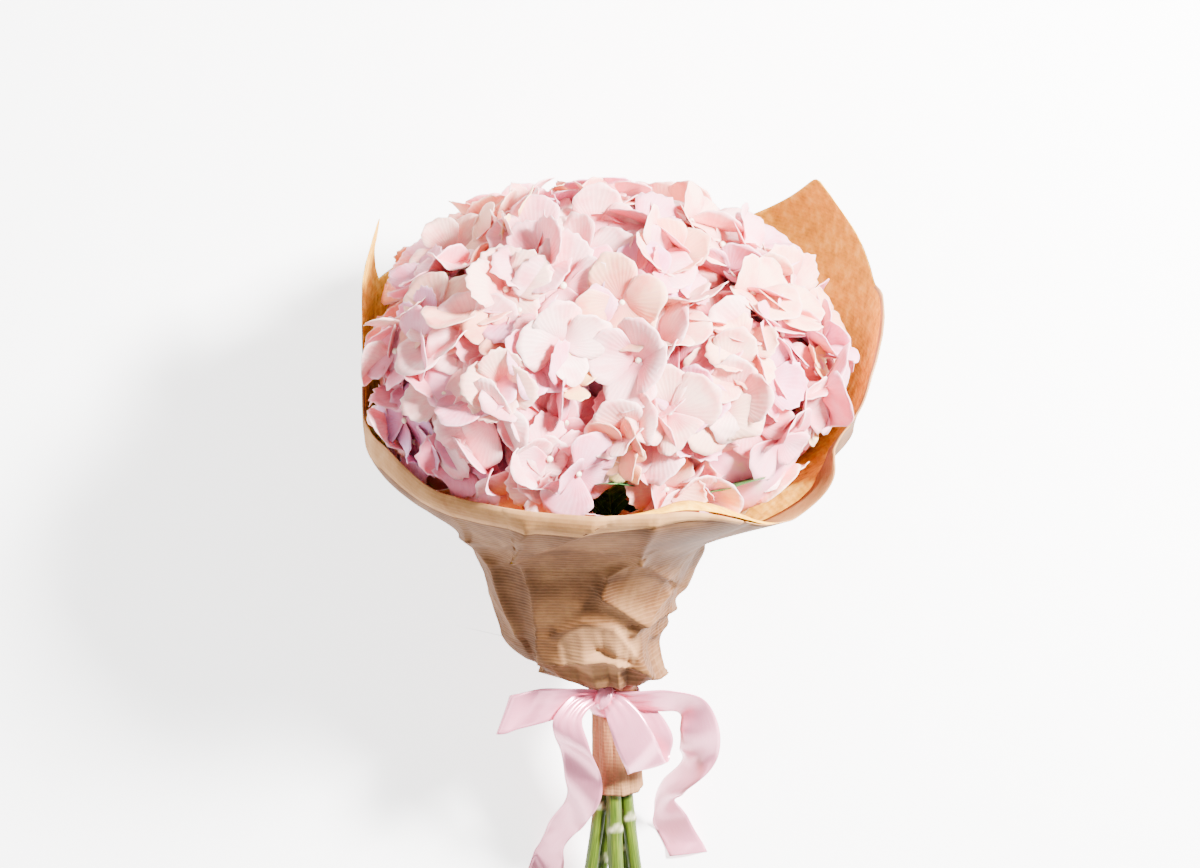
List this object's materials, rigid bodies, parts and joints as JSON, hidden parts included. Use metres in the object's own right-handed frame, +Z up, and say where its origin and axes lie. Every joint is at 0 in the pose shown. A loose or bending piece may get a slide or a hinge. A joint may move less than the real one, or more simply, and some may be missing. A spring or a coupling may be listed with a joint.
{
  "type": "hydrangea bouquet",
  "caption": "Cut bouquet of pink mophead hydrangeas, wrapped in ribbed kraft paper and tied with a satin bow, lying on its back.",
  "frame": {"origin": "on the surface the bouquet lies on, in the middle of the flattened back of the paper", "axes": "+Y points from the cut ends towards the heads, +Z up from the surface, +X to the right seen from above with the heads away from the viewer"},
  "size_m": [0.3222, 0.5235, 0.2955],
  "materials": {
    "petal": "matte",
    "stem": "matte",
    "leaf": "satin",
    "kraft_paper": "matte",
    "satin": "satin"
  },
  "bodies": {
    "root": {"head_front_left": "petal", "head_front_right": "petal", "head_back_left": "petal", "head_back_right": "petal", "head_top": "petal", "stem_front_left": "stem", "stem_front_right": "stem", "stem_back_left": "stem", "stem_back_right": "stem", "stem_top": "stem", "leaf_front": "leaf", "leaf_right": "leaf", "paper_wrap": "kraft_paper", "ribbon": "satin"}
  },
  "joints": []
}
